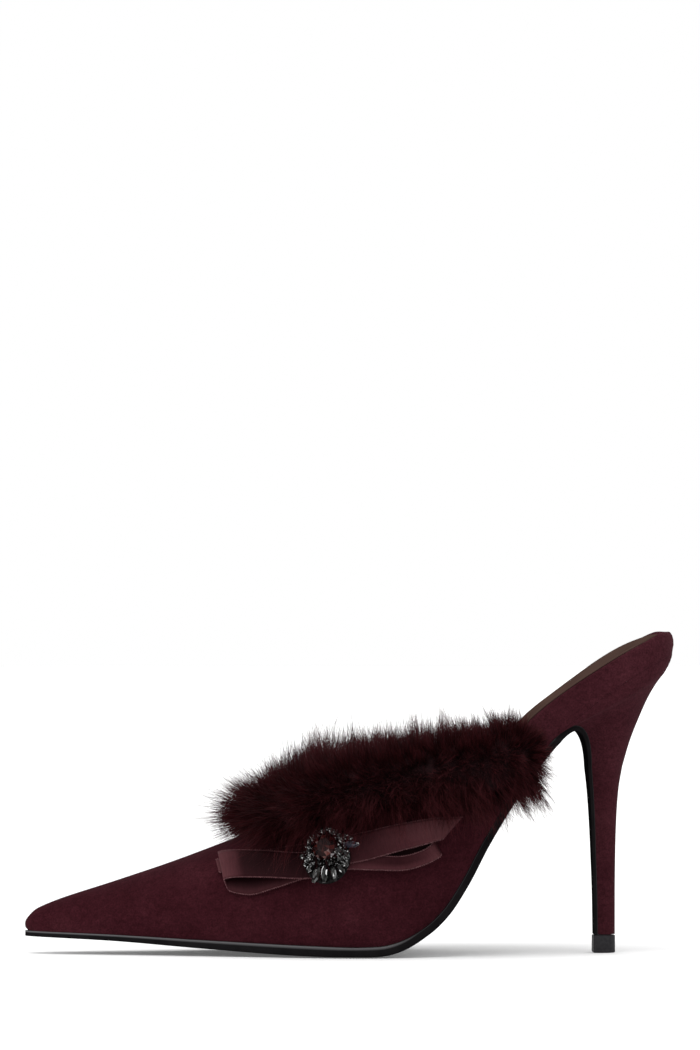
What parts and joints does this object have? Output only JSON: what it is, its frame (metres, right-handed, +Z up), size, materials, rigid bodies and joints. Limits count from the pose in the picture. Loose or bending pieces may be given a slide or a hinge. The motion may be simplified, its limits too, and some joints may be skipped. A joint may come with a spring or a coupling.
{
  "type": "heeled mule",
  "caption": "Pointed-toe suede mule on a stiletto heel, with a fur trim round the collar, a ribbon bow and a stone brooch on its outer side.",
  "frame": {"origin": "centre of the heel tip's flat underside, on the floor", "axes": "+X from the toe to the back of the heel, +Y towards the foot's inner side, +Z up"},
  "size_m": [0.2364, 0.0926, 0.1173],
  "materials": {
    "suede": "dark wine suede, soft nap",
    "sole_leather": "black, smooth, slight sheen",
    "heel_tip": "black, matt",
    "sock": "brown, smooth, satin",
    "fur": "deep wine fur, glossy hairs",
    "satin": "wine satin ribbon",
    "gunmetal": "dark plated",
    "red_stone": "cut stone, deep red",
    "smoke_stone": "cut stones, smoke grey"
  },
  "bodies": {
    "root": {"outsole": "sole_leather", "footbed": "suede", "sock": "sock", "upper": "suede", "heel": "suede", "heel_tip": "heel_tip", "fur_band": "fur", "bow_loop_toe": "satin", "bow_tail_toe": "satin", "bow_loop_heel": "satin", "bow_tail_heel": "satin", "brooch_plate": "gunmetal", "brooch_centre_stone": "red_stone", "brooch_round_stone_1": "smoke_stone", "brooch_round_stone_2": "smoke_stone", "brooch_round_stone_3": "smoke_stone", "brooch_round_stone_4": "smoke_stone", "brooch_round_stone_5": "smoke_stone", "brooch_round_stone_6": "smoke_stone", "brooch_round_stone_7": "smoke_stone", "brooch_long_stone_1": "smoke_stone", "brooch_long_stone_2": "smoke_stone", "brooch_long_stone_3": "smoke_stone", "brooch_long_stone_4": "smoke_stone", "brooch_long_stone_5": "smoke_stone", "brooch_long_stone_6": "smoke_stone", "brooch_long_stone_7": "smoke_stone", "brooch_long_stone_8": "smoke_stone"}
  },
  "joints": []
}
